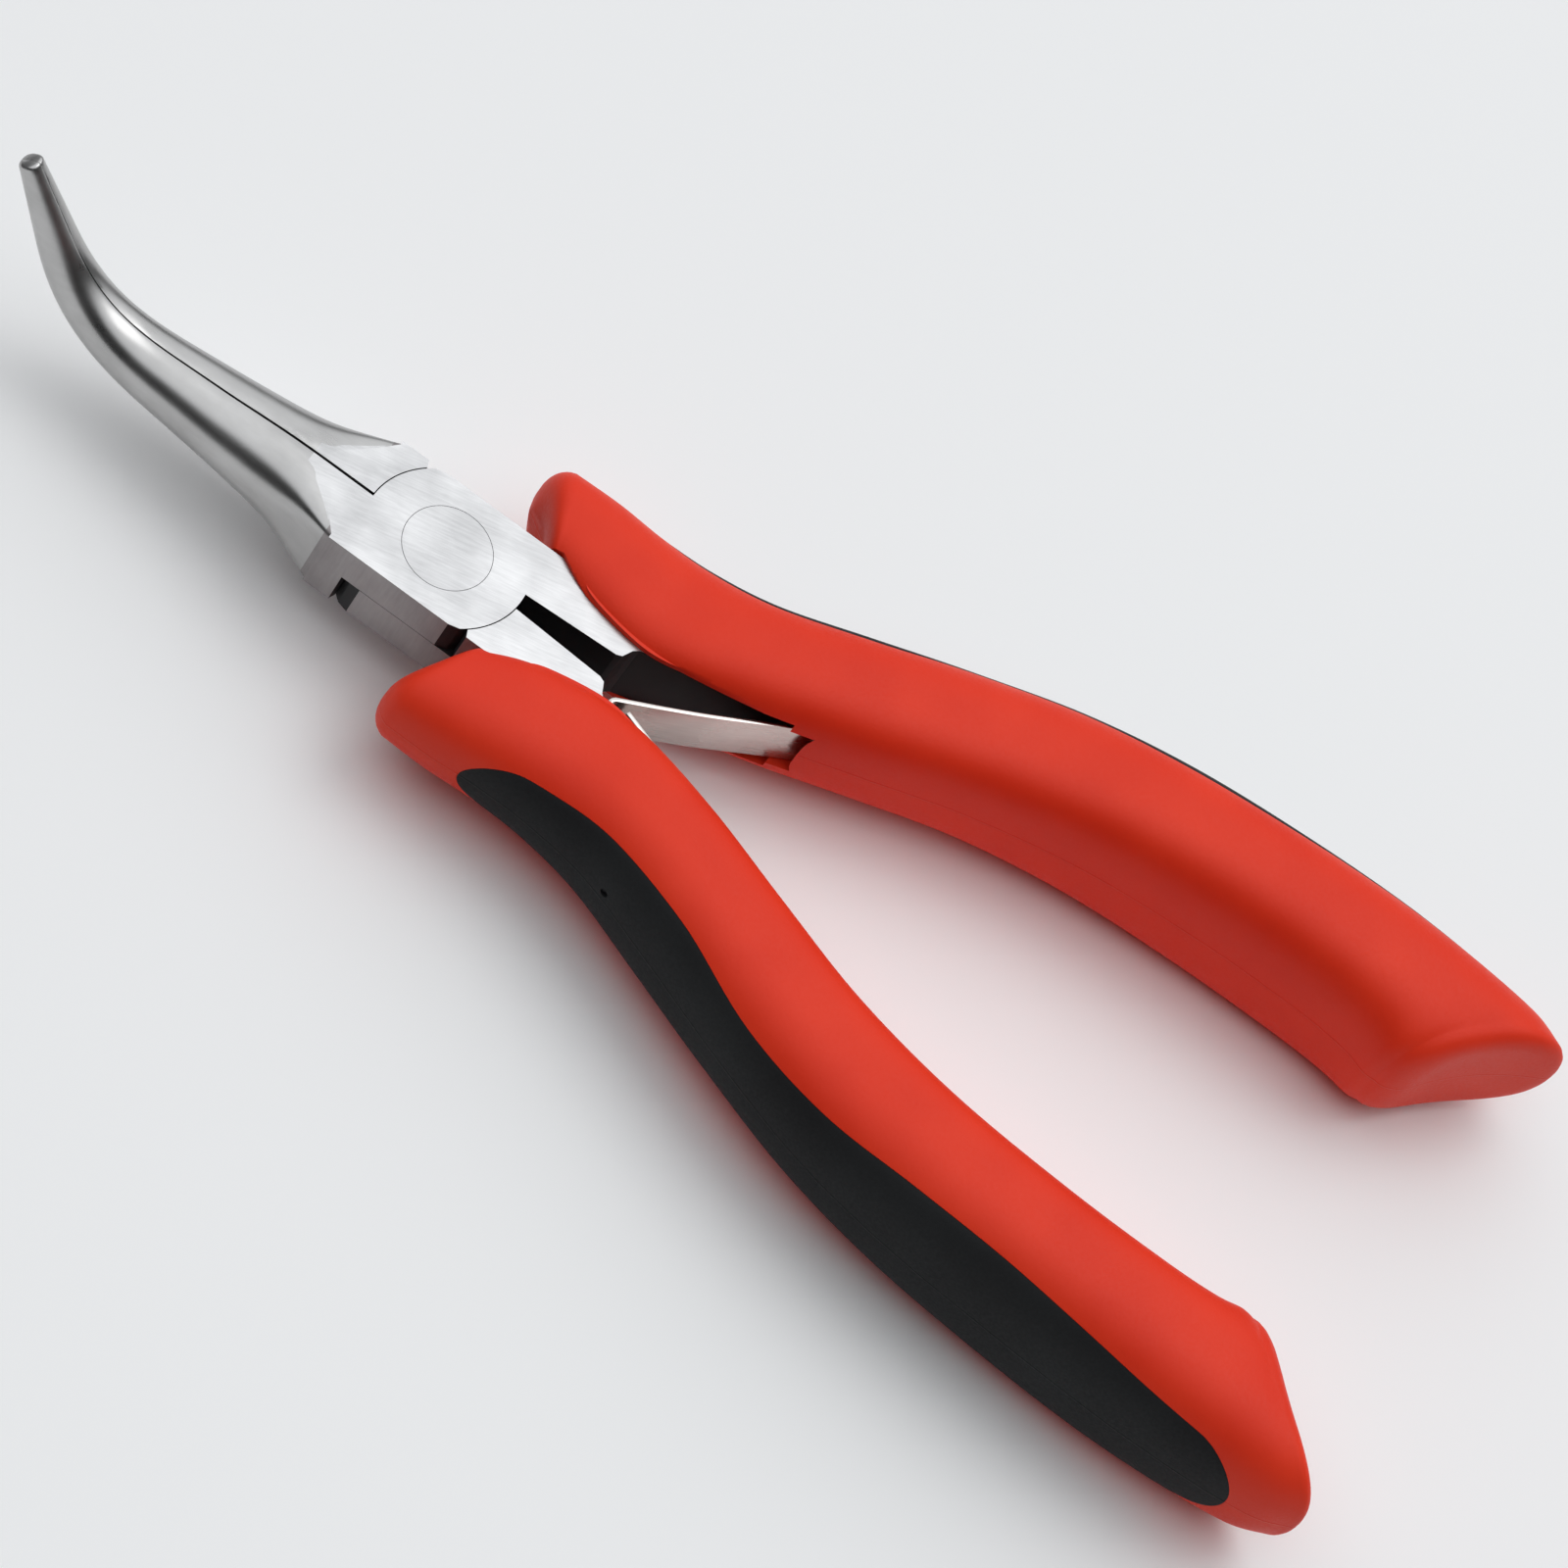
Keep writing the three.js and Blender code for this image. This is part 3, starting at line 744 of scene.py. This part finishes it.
lever("upper_lever_forging", UPPER, False)
lever("lower_lever_forging", LOWER, True)
grip("lower_grip_moulding", LOWER, "lower_grip", False)
grip("upper_grip_moulding", UPPER, "upper_grip", True)
insert("lower_insert_moulding", LOWER, "lower_grip_insert", False)
insert("upper_insert_moulding", UPPER, "upper_grip_insert", True)
leaf("upper_leaf_strip", UPPER_LEAF, arc(HOOK_RADIUS, -35, 90, 10, centre=HOOK_CENTRE),
     "upper_leaf_spring")
leaf("lower_leaf_strip", LOWER_LEAF, [],
     "lower_leaf_spring")

rivet = frame["nodes"]["pivot_rivet"]
rivet.data.materials.clear()
rivet.data.materials.append(MATERIALS["rivet"])


# --- floor, light and camera -----------------------------------------------------------------------

def floor():
    low = min(corner[2] for corner in cad_box)
    mesh = bpy.data.meshes.new("floor")
    size = 3.0
    mesh.from_pydata([(-size, -size, low), (size, -size, low), (size, size, low), (-size, size, low)],
                     [], [(0, 1, 2, 3)])
    plane = bpy.data.objects.new("floor", mesh)
    bpy.context.collection.objects.link(plane)
    material, tree, shader = new_material("floor_paper")
    shader.inputs["Base Color"].default_value = (0.95, 0.95, 0.95, 1)
    shader.inputs["Roughness"].default_value = 0.8
    mesh.materials.append(material)
    plane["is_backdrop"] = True


def softbox(name, direction, distance, size, watts):
    light = bpy.data.lights.new(name, "AREA")
    light.shape = "RECTANGLE"
    light.size, light.size_y = size
    light.energy = watts
    lamp = bpy.data.objects.new(name, light)
    bpy.context.collection.objects.link(lamp)
    towards = Vector(direction).normalized()
    lamp.location = Vector((-0.03, 0, 0)) + towards * distance
    lamp.rotation_euler = towards.to_track_quat("Z", "Y").to_euler()


def world_light():
    """A light tent: bright overhead and behind the tool, dark low down on the camera's side."""
    world = bpy.data.worlds.new("studio")
    bpy.context.scene.world = world
    world.use_nodes = True
    tree = world.node_tree
    background = tree.nodes["Background"]
    background.inputs["Color"].default_value = (0.96, 0.98, 1, 1)
    direction = add_node(tree, "ShaderNodeTexCoord")
    lean = add_node(tree, "ShaderNodeVectorMath", operation="DOT_PRODUCT")
    lean.inputs[1].default_value = (0.05, -0.35, 1.0)
    tree.links.new(direction.outputs["Generated"], lean.inputs[0])
    strength = add_node(tree, "ShaderNodeMapRange", interpolation_type="SMOOTHSTEP")
    strength.inputs["From Min"].default_value = 0.46
    strength.inputs["From Max"].default_value = 0.76
    strength.inputs["To Min"].default_value = 0.03
    strength.inputs["To Max"].default_value = 1.12
    tree.links.new(lean.outputs["Value"], strength.inputs["Value"])
    tree.links.new(strength.outputs["Result"], background.inputs["Strength"])


def camera():
    """From above the lower handle, with the nose at the upper left."""
    data = bpy.data.cameras.new("camera")
    view = bpy.data.objects.new("camera", data)
    bpy.context.collection.objects.link(view)
    data.sensor_width = 36
    data.lens = 142.9
    forward = Vector((-0.0377, -0.5635, -0.8253)).normalized()
    up = Vector((0.5892, -0.6796, 0.4371))
    right = forward.cross(up).normalized()
    up = right.cross(forward)
    place = Vector((-0.0161, 0.3213, 0.4760 + MID_PLANE * MM))
    turn = Matrix((right, up, -forward)).transposed()
    view.matrix_world = Matrix.Translation(place) @ turn.to_4x4()
    data.clip_start = 0.01
    bpy.context.scene.camera = view


bpy.context.scene.view_settings.view_transform = "Standard"
floor()
softbox("key", (-0.25, -0.35, 0.9), 1.3, (0.8, 0.8), 3.2)
world_light()
camera()

visual_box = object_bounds()
boxes = {"cad": cad_box, "visual": visual_box}
{key: [list(map(float, corner)) for corner in box] for key, box in boxes.items()}
